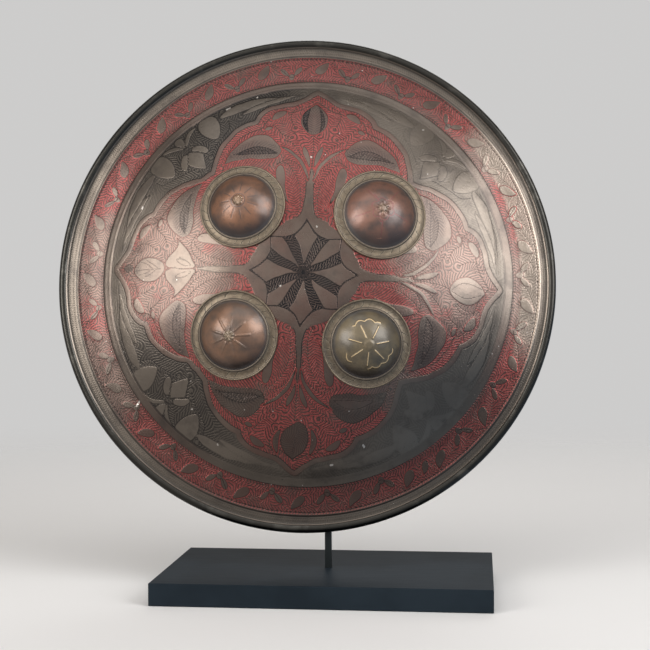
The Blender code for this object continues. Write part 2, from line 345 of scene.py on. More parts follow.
# The corners between the arms: an open flower, two broad leaves and long blades to each side
for k, (across, out) in enumerate([(-3, 166), (0, 169.5), (0, 168), (0.5, 168)]):
    turn = 45 + 90 * k
    kite = [(0, -2.5), (0, -2.5), (4.6, -8), (9, -13.8), (9, -13.8), (5.2, -21), (1, -29), (1, -29)]
    kite += [(-4.6, -21), (-9, -13.8), (-9, -13.8), (-4.6, -8)]
    draw_shape([(across + v, out + u) for v, u in kite], turn)
    draw_leaf((across - 0.5, out + 4), (across - 1, out + 17), 9.5, 0.9, 0.35, 0, turn)
    for s in (1, -1):
        hugging = [(2.8, -4.2), (2.8, -4.2), (6.0, -1.4), (11.8, -4.4), (15.2, -10.2)]
        hugging += [(14.8, -15.2), (11.4, -15.2), (6.6, -8.8)]
        draw_shape([(s * across + v, out + u) for v, u in hugging], turn, s)
        draw_leaf((across + s * 1, out + 2.5), (across + s * 21, out + 14), 4.2, 0.6, 0.6, s * 3.4, turn)
        nearer = 3.5 if (k, s) == (0, 1) else 0
        draw_leaf((s * 29 - nearer, out - 12), (s * 32.5 - nearer, out + 16), 21, 0.75, 0.42, 0, turn)
        draw_stem([(9, out - 22), (17, out - 18), (29, out - 14), (40, out - 11), (45, out - 3)], turn, s)
        bow = s * 3.4
        draw_leaf(polar(175.5, 90 - s * 13.4), polar(176.5, 90 - s * 34), 9, 0.6, 1.2, bow, turn)
        draw_leaf(polar(168, 90 - s * 20), polar(176, 90 - s * 40), 6, 0.8, 1.2, bow, turn)
        draw_stem([polar(181, 90 - s * 15), polar(181.5, 90 - s * 24), polar(179, 90 - s * 35)], turn)

# The border: leaves that hang from a running stem, with a small flower in each of its dips. The
# engraver's steps came out uneven, and the last gap has room for one leaf only.
RED_BAND = (191.5, 216.5)
at = 310.7
for step in [15.5] * 15 + [14.75] * 8 + [9.5]:
    dip, share = at + step / 2, step / 15
    draw_leaf(polar(200.8, at + 1.4), polar(213.2, at - 2.2), 8.8, 0.6, 1.0, -1.0)
    if step > 12:
        for s in (1, -1):
            draw_leaf(polar(198.6, dip + 0.7 * s), polar(207.2, dip + 2.9 * s), 5.4, 0.7, 0.6)
        draw_leaf(polar(201.5, dip), polar(193.6, dip), 5.8, 0.8, 0.8)
    else:
        draw_leaf(polar(199.5, dip + 1.0), polar(210, dip - 1.6), 6.4, 0.6, 1.0)
    end = at + step
    fall = [polar(214, end - 2.2), polar(210.5, end - 3.9 * share), polar(203, end - 5.6 * share)]
    climb = [polar(200.8, at + 5.2 * share), polar(207, at + 2.9), polar(214, at - 2.0)]
    draw_stem(fall + [polar(197.5, dip)] + climb, 0)
    at += step
draw([polar(RED_BAND[0] + 2.0, a) for a in range(0, 361, 1)])
draw([polar(RED_BAND[1] - 1.4, a) for a in range(0, 361, 1)])
draw(panel, closed=True)


def ring_radii():
    """Radii of the face's rings, closer together where the mouldings are."""
    marks = [0, 122, 132, 147, 152, 156]
    places = [0, 183.5, 192.5, 215, 218.5, 1000 * roll_start()[0]]
    return np.interp(np.arange(FRONT_RINGS + 1), marks, places)


def roll_start():
    half_sheet = math.asin(WALL / 2 / ROLL_RADIUS)
    first = math.pi - BRIM_ANGLE - half_sheet
    return SHIELD_RADIUS - ROLL_RADIUS + ROLL_RADIUS * math.cos(first), first, 2 * math.pi - 2 * half_sheet


def disc_triangles(rings, first=0):
    """Triangles of a disc whose ring k has 6k places, counter-clockwise from above."""
    made = []
    for k in range(rings):
        inner = 1 + 3 * k * (k - 1) if k else 0
        outer = 1 + 3 * k * (k + 1)
        inner_count, outer_count = max(1, 6 * k), 6 * (k + 1)
        for s in range(6):
            for j in range(k + 1):
                c = inner + (s * k + j) % inner_count
                a = outer + (s * (k + 1) + j) % outer_count
                b = outer + (s * (k + 1) + j + 1) % outer_count
                made.append((c, a, b))
                if j < k:
                    made.append((c, b, inner + (s * k + j + 1) % inner_count))
    return np.array(made) + first


def disc_places(radii):
    """Radius and bearing of every place on a disc of rings."""
    counts = [max(1, 6 * k) for k in range(len(radii))]
    radius = np.repeat(radii, counts)
    bearing = np.concatenate([2 * math.pi * np.arange(n) / n for n in counts])
    return radius, bearing


def waves(x, y, size, seed):
    """Gentle unevenness from a few crossing waves, about -1 to 1."""
    total = 0
    for i in range(5):
        a = seed * 1.7 + i * 2.4
        pitch = size * (0.7 + 0.19 * i)
        total = total + np.sin((x * math.cos(a) + y * math.sin(a)) * 2 * math.pi / pitch + seed + 2.1 * i)
    return total / 3.2


def placed(name, data):
    """A new object of the scene."""
    thing = bpy.data.objects.new(name, data)
    bpy.context.scene.collection.objects.link(thing)
    return thing


def carry(mesh, name, values, domain="POINT"):
    """Let the mesh carry a named value or vector, which its finish reads."""
    kind, field = ("FLOAT_VECTOR", "vector") if values.ndim > 1 else ("FLOAT", "value")
    mesh.attributes.new(name, kind, domain).data.foreach_set(field, values.ravel())


def edges_off(q, ring):
    """How far off the panel, the star, the leaves and the red and black grounds each place is."""
    panel_off = off_outlines([panel], q, FAR)
    star_off = off_outlines([star_ring], q, FAR)
    leaf_off = off_outlines(leaves, q, 9)
    bare = 0.5 - np.minimum(leaf_off, off_outlines(stems, q, 9))
    in_band = np.maximum(RED_BAND[0] - ring, ring - RED_BAND[1])
    in_panel = np.maximum(panel_off, 48.5 - ring)
    red = np.maximum(np.minimum(in_panel, in_band), bare)
    corner = np.maximum(STRAP - panel_off, ring - FILLET_EDGES[0])
    black = np.maximum(np.minimum(corner, star_off), bare)
    return panel_off, star_off, leaf_off, red, black


def paint_left(q, on_pattern, star_off, leaf_off, red, black):
    """How full of black and how hatched each place is; the dark shapes go from the red to the black."""
    # the right-hand corners were never filled, or have lost their paint
    turn = np.degrees(on_pattern) % 360
    # in the top-left corner the black thins towards the left arm: a painted highlight where the left light's
    # glare falls
    filled = 0.22 + 0.64 * step_between(88, 104, turn) * (1 - 0.9 * step_between(138, 162, turn))
    filled += 0.50 * step_between(196, 208, turn) * (1 - step_between(240, 262, turn))
    filled[star_off < 2] = 1.0
    hatched = np.zeros(len(q))
    for outline, strength in darks:
        off = off_outlines([outline], q, 8)
        filled[off < 1.5] = strength
        hatched = np.maximum(hatched, step_between(9.5, 3.0, off) * step_between(0.2, -1.6, leaf_off))
        black = np.minimum(black, off)
        red = np.maximum(red, -off)
    return filled, hatched, red, black


def paint_wear_and_light(q, ring, on_pattern, panel_off):
    """How smooth the face is, how thin its paint, and how bright or dull its border, from wear and from
    painted light and shade.
    """
    # the low right-hand corner and parts of its neighbours have been rubbed smooth
    turn = np.degrees(on_pattern) % 360
    lost = step_between(238, 252, turn) * (1 - step_between(326, 340, turn))
    lost = np.maximum(lost, 0.75 * step_between(42, 56, turn) * (1 - step_between(84, 98, turn)))
    lost *= step_between(STRAP - 3, STRAP + 1, panel_off) * step_between(192.5, 190.5, ring)

    # where the paint is thin: partly rubbed thin by hands and cloths, partly a painted highlight of the side
    # lights' glare at the left and right
    thin_paint_and_glare = np.zeros(len(q))
    for x, y, reach in [
        (-118, 2, 84), (132, 26, 92), (212, 10, 76), (150, 120, 52), (-205, 10, 60), (86, -96, 34),
        (-178, -103, 62),
    ]:
        thin_paint_and_glare = np.maximum(thin_paint_and_glare, 1 - step_between(0.35 * reach, reach, np.hypot(q[:, 0] - x, q[:, 1] - y)))

    # how bare or dull the border is, partly wear and partly painted light: brighter to the right,
    # a painted highlight where the right light catches the brim; the border and fillet duller
    # elsewhere, and darker towards the bottom and the lower right, painted shade; the band outside
    # the bead kept lighter at the left and right, a painted highlight
    bright = step_between(0.70, 0.97, np.cos(on_pattern - math.radians(14)))
    low_right = step_between(0.75, 0.97, np.cos(on_pattern - math.radians(298)))
    wear_light_and_shade = bright * step_between(196, 204, ring) * step_between(222, 218, ring)
    dulled = (1 - bright) * (0.6 + 0.4 * low_right)
    wear_light_and_shade -= dulled * step_between(191, 194, ring) * step_between(219, 217, ring)
    left = step_between(0.86, 0.99, np.cos(on_pattern - math.radians(183)))
    wear_light_and_shade -= (1 - 0.7 * bright) * (1 - 0.75 * left) * step_between(217, 219, ring)
    low = step_between(0.45, 0.80, np.cos(on_pattern - math.radians(278)))
    wear_light_and_shade -= (0.42 + 0.40 * low) * step_between(183, 185, ring) * step_between(192, 190.5, ring)
    wear_light_and_shade -= 0.40 * low * step_between(184, 183, ring) * step_between(STRAP - 2, STRAP + 1, panel_off)
    return lost, thin_paint_and_glare, wear_light_and_shade


def chips(q):
    """A few chips down to bright metal: where, how long and how wide, and how they lie."""
    chipped = np.zeros(len(q))
    for x, y, length, width, degrees in [
        (-85, 159, 6, 2.0, 10), (34, -170, 4, 1.8, -12), (-150, -124, 7, 1.8, 52),
        (-1, 110, 2.4, 2.2, 0), (-158, 58, 3, 1.6, 60), (-72, -158, 2.6, 1.4, 20),
        (62, -150, 5, 1.0, -58), (9, 42, 2.4, 1.2, 30), (-20, -13, 2.4, 1.2, 15),
        (-96, -128, 2.6, 1.3, 80), (100, 148, 2.2, 1.2, 0), (-58, 172, 2.2, 1.4, 40),
    ]:
        lie = turned(q - (x, y), -degrees)
        off = np.hypot(lie[:, 0] / length * 2, lie[:, 1] / width * 2)
        chipped = np.maximum(chipped, step_between(1.35, 0.75, off))
    return chipped


def relief(q, ring, panel_off, leaf_off, ground_off, lost):
    """How far the worked face stands out from its plain shape, in metres."""
    sunk = GROUND_SUNK * step_between(0.5, -0.9, ground_off)
    off_fillet = np.maximum(step_between(185.5, 184, ring), step_between(190, 191.5, ring))
    swollen = LEAF_SWOLLEN * step_between(0, -4.5, leaf_off) * off_fillet
    fillet = FILLET_RISE * step_between(183.7, 185.4, ring) * (1 - step_between(190.1, 191.6, ring))
    bead = BEAD_RISE * step_between(215.6, 216.6, ring) * (1 - step_between(217.2, 218.2, ring))
    groove = PANEL_GROOVE * (1 - step_between(0.2, 1.2, np.abs(panel_off))) * (ring < FILLET_EDGES[0])
    uneven = 0.10 * waves(q[:, 0], q[:, 1], 61, 2.0) + 0.05 * waves(q[:, 0], q[:, 1], 27, 7.0)
    settle = 1 - step_between(219, 224, ring)
    return (uneven * settle + bead + (fillet + swollen - sunk - groove) * (1 - 0.8 * lost)) / 1000


def face_places(ring, bearing, lift):
    """The places of the face, each moved out by its lift."""
    off_true = 1 - step_between(219, 1000 * roll_start()[0] - 0.5, ring)
    x = ring / 1000 * np.cos(bearing) + RINGS_OUT_OF_TRUE[0] * off_true
    y = ring / 1000 * np.sin(bearing) + RINGS_OUT_OF_TRUE[1] * off_true
    out = np.hypot(x, y)
    height, fall = face_height(out)
    outward = np.column_stack([x, y]) / np.maximum(out, 1e-9)[:, None]
    return np.column_stack([
        x + outward[:, 0] * lift * np.sin(fall),
        y + outward[:, 1] * lift * np.sin(fall),
        height + lift * np.cos(fall),
    ])


def roll_places():
    """The rows of places round the rolled edge, from the face to the sheet's back."""
    _, first, sweep = roll_start()
    around = 2 * math.pi * np.arange(RIM) / RIM
    uneven = 1 + 0.03 * waves(230 * np.cos(around), 230 * np.sin(around), 90, 3.0)
    reach = ROLL_RADIUS * np.where(uneven > 1, 1, uneven)
    rows = []
    for i in range(1, ROLL_STEPS):
        a = first - sweep * i / ROLL_STEPS
        out = SHIELD_RADIUS - ROLL_RADIUS + reach * math.cos(a)
        rows.append(np.column_stack([out * np.cos(around), out * np.sin(around), reach * math.sin(a)]))
    return rows


def back_places():
    """The places of the back, with the marks of the hammer that raised the bowl."""
    _, first, sweep = roll_start()
    edge = SHIELD_RADIUS - ROLL_RADIUS + ROLL_RADIUS * math.cos(first - sweep)
    ring, bearing = disc_places(np.linspace(0, edge, BACK_RINGS + 1))
    x, y = ring * np.cos(bearing), ring * np.sin(bearing)
    height, fall = face_height(ring)
    dents = DENT * waves(1000 * x, 1000 * y, 21, 5.0) * (1 - step_between(0.20, 0.22, ring))
    sheet = WALL + dents / 1000
    share = np.maximum(ring, 1e-9)
    return np.column_stack([
        x - x / share * sheet * np.sin(fall),
        y - y / share * sheet * np.sin(fall),
        height - sheet * np.cos(fall),
    ])


def bowl_triangles(face_count, back_count):
    """The face's triangles; the whole bowl's, the face's first; and where the back's places start."""
    face_tris = disc_triangles(FRONT_RINGS)
    tris = [face_tris]
    rows = [np.arange(face_count - RIM, face_count)]
    rows += [face_count + RIM * i + np.arange(RIM) for i in range(ROLL_STEPS - 1)]
    for a, b in zip(rows, rows[1:]):
        a2, b2 = np.roll(a, -1), np.roll(b, -1)
        tris += [np.column_stack([a, b, b2]), np.column_stack([a, b2, a2])]
    start = face_count + RIM * (ROLL_STEPS - 1)
    inner = start + back_count - 6 * BACK_RINGS + np.arange(6 * BACK_RINGS)
    per = RIM // len(inner)
    stitch = []
    for j, place in enumerate(inner):
        for m in range(per):
            stitch.append((rows[-1][per * j + m], place, rows[-1][(per * j + m + 1) % RIM]))
        after = inner[(j + 1) % len(inner)]
        stitch.append((place, after, rows[-1][(per * (j + 1)) % RIM]))
    tris.append(np.array(stitch))
    tris.append(disc_triangles(BACK_RINGS, start)[:, ::-1])
    return face_tris, np.vstack(tris), start


def nearest_strokes(corners, count):
    """How far along its triangle's nearest engraved line each corner is, and how far off it."""
    middles = corners.mean(1)
    nearest = np.full(len(middles), 14.0)
    owner = np.full(len(middles), -1)
    for i, (line, _) in enumerate(lines):
        chosen = near_to(line, middles, 9)
        if len(chosen):
            off = gauge(line, middles[chosen])[2]
            closer = off < nearest[chosen]
            nearest[chosen[closer]] = off[closer]
            owner[chosen[closer]] = i
    stroke = np.full((count, 3, 3), FAR)
    for i, (line, closed) in enumerate(lines):
        owned = np.flatnonzero(owner == i)
        if not len(owned):
            continue
        along, side, off = gauge(line, corners[owned].reshape(-1, 2))
        along = along.reshape(-1, 3)
        if closed:
            whole = np.linalg.norm(np.diff(line, axis=0), axis=1).sum()
            along = along - whole * np.round((along - along[:, :1]) / whole)
        stroke[owned, :, 0] = along
        stroke[owned, :, 1] = side.reshape(-1, 3)
        stroke[owned, :, 2] = off.reshape(-1, 3)
    return stroke


def make_bowl():
    ring, bearing = disc_places(ring_radii())
    on_pattern = bearing - PATTERN_TURN
    q = np.column_stack([ring * np.cos(on_pattern), ring * np.sin(on_pattern)])
    wobble = np.column_stack([waves(q[:, 0], q[:, 1], 23, 1.0), waves(q[:, 0], q[:, 1], 19, 4.0)])
    q = q + 0.5 * wobble
    panel_off, star_off, leaf_off, red, black = edges_off(q, ring)
    filled, hatched, red, black = paint_left(q, on_pattern, star_off, leaf_off, red, black)
    lost, thin_paint_and_glare, wear_light_and_shade = paint_wear_and_light(q, ring, on_pattern, panel_off)
    chipped = chips(q)

    ground_off = np.minimum(red, black + 0.7 * (1 - filled))
    lift = relief(q, ring, panel_off, leaf_off, ground_off, lost)
    front, back = face_places(ring, bearing, lift), back_places()
    places = np.vstack([front] + roll_places() + [back])
    face_tris, tris, start = bowl_triangles(len(front), len(back))
    mesh = bpy.data.meshes.new("shield_bowl_face")
    mesh.from_pydata(places.tolist(), [], tris.tolist())
    mesh.polygons.foreach_set("use_smooth", np.ones(len(tris), bool))

    def with_rest(on_face, rest=0.0):
        """The face's values, followed by one value for the roll and the back."""
        whole = np.full((len(places), *on_face.shape[1:]), rest)
        whole[: len(q)] = on_face
        return whole

    # what the finish needs to know at each place: how far off each edge it is, in millimetres,
    # and how filled, how thinned by wear and painted glare, how worn and painted lighter or darker, chipped,
    # hatched and lost
    carry(mesh, "ground", with_rest(np.column_stack([red, black, leaf_off]), FAR))
    rings = with_rest(np.column_stack([ring, np.degrees(on_pattern), panel_off]), (-FAR, 0.0, FAR))
    rings[start:, 0] = -200  # the back is told from the roll by its ring
    carry(mesh, "rings", rings)
    carry(mesh, "state", with_rest(np.column_stack([filled, thin_paint_and_glare, wear_light_and_shade])))
    carry(mesh, "shade", with_rest(np.where(chipped > 0.02, -chipped, hatched)))
    carry(mesh, "lost", with_rest(lost))
    carry(mesh, "stroke", nearest_strokes(q[face_tris], len(tris)), "CORNER")

    # the face takes most of the paint map, and the back a small disc in its corner
    flat = places[:, :2] / SHIELD_RADIUS
    front_map = 0.455 + 0.445 * flat
    back_map = 0.865 + 0.122 * flat
    on_front = np.zeros(len(tris), bool)
    on_front[: len(face_tris) + 2 * RIM * (ROLL_STEPS // 2)] = True
    paint = np.where(on_front[:, None, None], front_map[tris], back_map[tris])
    mesh.uv_layers.new(name="OFBake").data.foreach_set("uv", paint.ravel())
    mesh.validate()
    mesh.transform(shield_place)
    return placed("shield_bowl_sheet", mesh)


bowl = make_bowl()


class Wire:
    """A value in a material's node tree, which adds and multiplies as a number does."""

    def __init__(self, tree, socket):
        self.tree = tree
        self.socket = socket

    def node(self, kind, settings=None, **sockets):
        """Another node of the same tree, its settings made first and then its sockets joined."""
        made = self.tree.nodes.new("ShaderNode" + kind)
        for name, value in (settings or {}).items():
            setattr(made, name, value)
        for name, value in sockets.items():
            key = int(name[1:]) if name[0] == "i" and name[1:].isdigit() else name.replace("_", " ")
            self.put(made.inputs[key], value)
        return made

    def put(self, into, value):
        if isinstance(value, Wire):
            self.tree.links.new(value.socket, into)
        elif isinstance(value, tuple) and into.type == "RGBA":
            into.default_value = (*value, 1.0)
        else:
            into.default_value = value

    def maths(self, operation, *others):
        values = {"i%d" % i: v for i, v in enumerate((self, *others))}
        made = self.node("Math", {"operation": operation}, **values)
        return Wire(self.tree, made.outputs[0])

    def __add__(self, other):
        return self.maths("ADD", other)

    def __sub__(self, other):
        return self.maths("SUBTRACT", other)

    def __rsub__(self, other):
        return (self * -1.0) + other

    def __mul__(self, other):
        return self.maths("MULTIPLY", other)

    def __truediv__(self, other):
        return self.maths("DIVIDE", other)

    def __abs__(self):
        return self.maths("ABSOLUTE")

    __radd__ = __add__
    __rmul__ = __mul__

    def fract(self):
        return self.maths("FRACT")

    def most(self, other):
        return self.maths("MAXIMUM", other)

    def rise(self, low, high):
        """0 at low and 1 at high, smooth between; low may be the greater."""
        settings = {"interpolation_type": "SMOOTHSTEP"}
        made = self.node("MapRange", settings, Value=self, From_Min=low, From_Max=high)
        return Wire(self.tree, made.outputs[0])

    def mix(self, first, second):
        """first where this is 0 and second where it is 1; colours are tuples or wires."""
        made = self.node("Mix", {"data_type": "RGBA"}, i0=self, i6=first, i7=second)
        return Wire(self.tree, made.outputs[2])

    def parts(self):
        made = self.node("SeparateXYZ", Vector=self)
        return [Wire(self.tree, out) for out in made.outputs]

    def noise(self, scale, detail=3.0, rough=0.55, stretch=None):
        """Noise about 0.5 at this place; stretch is a vector the place is multiplied by."""
        place = self
        if stretch:
            made = self.node("VectorMath", {"operation": "MULTIPLY"}, i0=self, i1=stretch)
            place = Wire(self.tree, made.outputs[0])
        made = self.node("TexNoise", Vector=place, Scale=scale, Detail=detail, Roughness=rough)
        return Wire(self.tree, made.outputs[0])

    def cells(self, scale):
        made = self.node("TexVoronoi", Vector=self, Scale=scale)
        return Wire(self.tree, made.outputs[0])


def new_finish(name):
    """A material with its shader, and the place on the piece as a wire."""
    material = bpy.data.materials.new(name)
    material.use_nodes = True
    tree = material.node_tree
    shader = tree.nodes["Principled BSDF"]
    place = tree.nodes.new("ShaderNodeTexCoord")
    return material, shader, Wire(tree, place.outputs["Object"])


def read(place, name, output="Vector"):
    """A named value that the mesh carries."""
    made = place.node("Attribute", {"attribute_name": name})
    return Wire(place.tree, made.outputs[output])


def bump(height, depth, over=None):
    """A normal that leans with height, where depth is the metres that 1 stands for."""
    made = height.node("Bump", Height=height, Distance=depth, Strength=1.0)
    if over is not None:
        height.put(made.inputs["Normal"], over)
    return Wire(height.tree, made.outputs[0])


def finish_bowl():
    material, shader, place = new_finish("etched_steel")
    red_off, black_off, leaf_off = read(place, "ground").parts()
    ring, bearing, panel_off = read(place, "rings").parts()
    along, side, off = read(place, "stroke").parts()
    filled, thin_paint_and_glare, wear_light_and_shade = read(place, "state").parts()
    shade = read(place, "shade", "Fac")
    left_of_it = 1.0 - read(place, "lost", "Fac")

    broad = place.noise(9.0, 4.0)
    middling = place.noise(45.0, 4.0, 0.6)
    fine = place.noise(420.0, 3.0, 0.6)
    shake = (middling - 0.5) * 0.5 + (fine - 0.5) * 0.7

    # the browned metal, mottled and pitted
    metal = broad.rise(0.36, 0.64).mix((0.150, 0.127, 0.106), (0.205, 0.174, 0.144))
    in_panel = panel_off.rise(5.5, 4.0)
    in_border = ring.rise(191.0, 193.0) * ring.rise(218.0, 216.5)
    in_fillet = abs(ring - 187.5).rise(5.0, 3.5) * left_of_it * 0.6
    cloudy = place.noise(26.0, 5.0, 0.6).rise(0.34, 0.66)
    stain = in_panel.most(in_border).most(in_fillet) * (0.40 + 0.40 * cloudy)
    # less stain where the paint is thin, partly a painted highlight of the side lights' glare
    metal = (stain * (1.0 - thin_paint_and_glare * 0.55)).mix(metal, (0.122, 0.070, 0.058))
    metal = (middling.rise(0.48, 0.70) * 0.55).mix(metal, (0.085, 0.072, 0.064))
    # bright bare metal where the border is worn, partly wear and partly a painted highlight
    metal = (wear_light_and_shade.rise(0.0, 1.0) * (0.55 + 0.45 * fine)).mix(metal, (0.480, 0.400, 0.330))
    on_back = ring.rise(-100.0, -160.0)
    metal = (on_back * 0.5).mix(metal, (0.085, 0.068, 0.056))
    speck = place.cells(260.0).rise(0.16, 0.06) * fine.rise(0.52, 0.62)
    metal = (speck * 0.6).mix(metal, (0.05, 0.045, 0.045))

    # strokes of the graver, in herringbone off each line
    lean = along + off * 0.85 + shake
    stroke = abs((lean / 2.8).fract() - 0.5).rise(0.13, 0.24)
    in_red = (red_off + shake * 0.9).rise(0.35, -0.35)
    in_black = (black_off + shake * 0.9).rise(0.35, -0.35)
    black_stroke = abs((lean / 2.8).fract() - 0.5).rise(0.17, 0.30)
    # less red kept where the paint is thin, partly a painted highlight of the glare
    kept = (place.noise(30.0, 6.0, 0.65) + thin_paint_and_glare * 0.30).rise(0.76, 0.48)
    line = (abs(side) + shake * 0.3).rise(0.58, 0.20) * off.rise(0.9, 0.6)
    ladder = abs(panel_off + LADDER).rise(0.7, 0.3) * in_red * ring.rise(60, 62) * ring.rise(184, 183)
    off_fillet = abs(ring - 187.6).rise(3.4, 4.0)
    line = line.most(ladder) * off_fillet
    edge = (abs(leaf_off - 0.35) + shake * 0.3).rise(0.55, 0.2) * off_fillet

    # thin red paint over the strokes, stained metal between them
    red_paint = fine.rise(0.3, 0.7).mix((0.200, 0.038, 0.037), (0.350, 0.078, 0.071))
    red_between = middling.rise(0.35, 0.65).mix((0.066, 0.038, 0.034), (0.110, 0.065, 0.056))
    # less red where the border is worn bright, partly a painted highlight
    red_amount = in_red * (0.15 + 0.75 * kept) * (1.0 - wear_light_and_shade.rise(0.0, 1.0) * 0.8)
    colour = red_amount.mix(metal, stroke.mix(red_between, red_paint))
    bare_cuts = in_red * (1.0 - stroke) * (1.0 - kept) * 0.4
    colour = bare_cuts.mix(colour, (0.060, 0.050, 0.046))
    black_amount = in_black * filled * (0.48 + 0.50 * black_stroke)
    black_amount = black_amount * (0.84 + 0.16 * middling.rise(0.62, 0.44))
    colour = black_amount.mix(colour, (0.010, 0.011, 0.013))
    hatching = shade.most(0.0) * (0.16 + 0.36 * stroke) * middling.rise(0.72, 0.45)
    colour = hatching.mix(colour, (0.026, 0.024, 0.026))
    near_red = red_off.rise(2.2, 0.8) * ring.rise(218, 217)
    # engraved lines fainter where the paint is thin, partly a painted highlight of the glare
    dark_line = line.most(edge) * (1.0 - thin_paint_and_glare * 0.45) * (0.12 + 0.88 * left_of_it)
    edge_red = near_red * edge * (1.0 - thin_paint_and_glare * 0.7)
    plain_line = in_red.mix((0.020, 0.018, 0.018), (0.072, 0.050, 0.040))
    line_colour = edge_red.mix(plain_line, (0.30, 0.060, 0.055))
    colour = (dark_line * (0.45 + 0.4 * filled.most(near_red))).mix(colour, line_colour)

    # dark lines each side of the raised fillet, outside the border's bead and round the strap;
    # then fine scales outside the bead and a row of punch marks inside it
    grooves = abs(ring - FILLET_EDGES[0]).rise(1.4, 0.6) * (0.25 + 0.55 * filled) * middling.rise(0.34, 0.44)
    grooves = grooves.most(abs(ring - FILLET_EDGES[1]).rise(0.9, 0.4) * 0.5)
    grooves = grooves.most(abs(ring - BORDER_EDGE).rise(0.8, 0.3) * 0.7)
    strap_line = abs(panel_off - STRAP).rise(0.8, 0.35) * ring.rise(183.5, 183.0)
    grooves = grooves.most(strap_line * (0.3 + 0.7 * filled))
    grooves = grooves * (0.3 + 0.7 * left_of_it)
    colour = (grooves * 0.85).mix(colour, (0.018, 0.017, 0.017))
    scales = abs((bearing / 0.55).fract() - 0.5) + abs(((ring - 218.5) / 2.3).fract() - 0.5)
    scales = scales.rise(0.55, 0.75) * ring.rise(218.6, 219.2)
    colour = (scales * 0.3).mix(colour, (0.035, 0.033, 0.028))
    punch = abs((bearing / 1.15).fract() - 0.5).rise(0.34, 0.18) * abs(ring - 214.9).rise(1.1, 0.5)
    colour = (punch * 0.45).mix(colour, (0.012, 0.01, 0.01))

    # the dulled border and fillet, darker towards the bottom and lower right: partly painted shade
    dull = wear_light_and_shade.rise(0.0, -1.0) * (0.36 + middling * 0.12) * (1.0 - ring.rise(217, 219) * 0.5)
    colour = dull.mix(colour, (0.016, 0.013, 0.013))

    # a few pale flecks, where the metal or old chalk shows
    fleck = place.cells(120.0).rise(0.085, 0.045) * place.noise(33.0, 3.0).rise(0.56, 0.60)
    fleck = fleck.most((shade + (fine - 0.5) * 0.5).rise(-0.25, -0.55))
    colour = (fleck * 0.85).mix(colour, (0.56, 0.52, 0.48))

    # the rolled edge is painted near black, unevenly: a painted dark reflection of the room round it
    on_roll = ring.rise(222.0, 227.5).most(ring.rise(-40, -50) * ring.rise(-120, -100))
    roll_dark_reflection = middling.rise(0.52, 0.66).mix((0.021, 0.022, 0.020), (0.062, 0.060, 0.053))
    colour = (on_roll * 0.9).mix(colour, roll_dark_reflection)

    place.put(shader.inputs["Base Color"], colour)
    place.put(shader.inputs["Metallic"], 1.0 - red_amount * stroke * 0.2)
    rough = 0.30 + (middling - 0.5) * 0.14 + (fine - 0.5) * 0.10 + red_amount * 0.03 + black_amount * 0.08
    place.put(shader.inputs["Roughness"], rough)
    shader.inputs["Coat Weight"].default_value = 0.22
    shader.inputs["Coat Roughness"].default_value = 0.24
    sink = in_red.most(in_black * filled) * (0.35 + 0.65 * stroke) * -1.0
    carved = sink - dark_line * 0.8 - grooves * 1.2 - scales * 0.5 - punch
    first = bump(carved, 0.00011)
    scratches = place.noise(90.0, 3.0, 0.6, (1.0, 9.0, 1.0))
    second = bump((fine - 0.5) * 0.6 + (scratches - 0.5) * 0.5 + speck * -0.8, 0.00010, first)
    place.put(shader.inputs["Normal"], second)
    return material


bowl.data.materials.append(finish_bowl())
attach(bowl, "root")
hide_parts("shield_bowl")

# ---------------------------------------------------------------------------
# The bosses. Four domes of browned copper sheet, each with a wide flange that follows the bowl.
# A rivet runs down the middle of each and is clenched over inside the bowl. The crowns are
# chased, and each is different, as the work of one hand.

# distance from the bowl's middle, bearing from its right hand, and radius of the flange
BOSSES = {
    "boss_top_left": (0.0831, 131.6, 0.0400),
    "boss_top_right": (0.0889, 37.5, 0.0425),
    "boss_bottom_left": (0.0835, 222.3, 0.0409),
    "boss_bottom_right": (0.0868, 312.1, 0.0405),
}
GAP = 0.0003  # between pieces that touch
BOSS_RISE = 0.0160
BOSS_SHEET = 0.0012
BOSS_DOME_SHARE = 0.76
BOSS_SIDES = 216
BEAD_HALF = 0.0009  # half the width of the bead round the dome's foot and of the one at the edge
FOOT_BEAD_RISE = 0.0008
EDGE_BEAD_RISE = 0.0006
FLANGE_DISH = 0.0004
CHASED_CUT = 0.16  # in millimetres, as the whole of the chasing is
RIVET_RADIUS = 0.0025
RIVET_END_RADIUS = 0.0055
RIVET_END_HEIGHT = 0.0028


def seat_height(radius):
    return np.sqrt(DOME_RADIUS**2 - radius**2) - DOME_RADIUS


def boss_section(flange):
    """Radius, height and outward lean of the boss's outside, from its top to its edge."""
    dome = BOSS_DOME_SHARE * flange
    foot = seat_height(dome) + GAP + BOSS_SHEET
    rise = BOSS_RISE - foot
    ball = (dome**2 + rise**2) / (2 * rise)
    last = math.asin(dome / ball)
    a = np.linspace(0, last, 58)
    radius, height, lean = [ball * np.sin(a)], [BOSS_RISE - ball + ball * np.cos(a)], [a]
    t = np.linspace(0, math.pi, 9)[1:]
    radius.append(dome + BEAD_HALF - BEAD_HALF * np.cos(t))
    height.append(foot + FOOT_BEAD_RISE * np.sin(t))
    lean.append(0 * t)
    out = np.linspace(dome + 2 * BEAD_HALF, flange - 2 * BEAD_HALF, 13)[1:]
    dish = FLANGE_DISH * np.sin(math.pi * (out - out[0]) / (out[-1] - out[0]))
    radius.append(out)
    height.append(seat_height(out) + GAP + BOSS_SHEET - dish)
    lean.append(0 * out)
    t = np.linspace(0, math.pi, 8)[1:]
    radius.append(flange - BEAD_HALF - BEAD_HALF * np.cos(t))
    height.append(seat_height(flange) + GAP + BOSS_SHEET + EDGE_BEAD_RISE * np.sin(t))
    lean.append(t / 2)
    return np.concatenate(radius), np.concatenate(height), np.concatenate(lean)


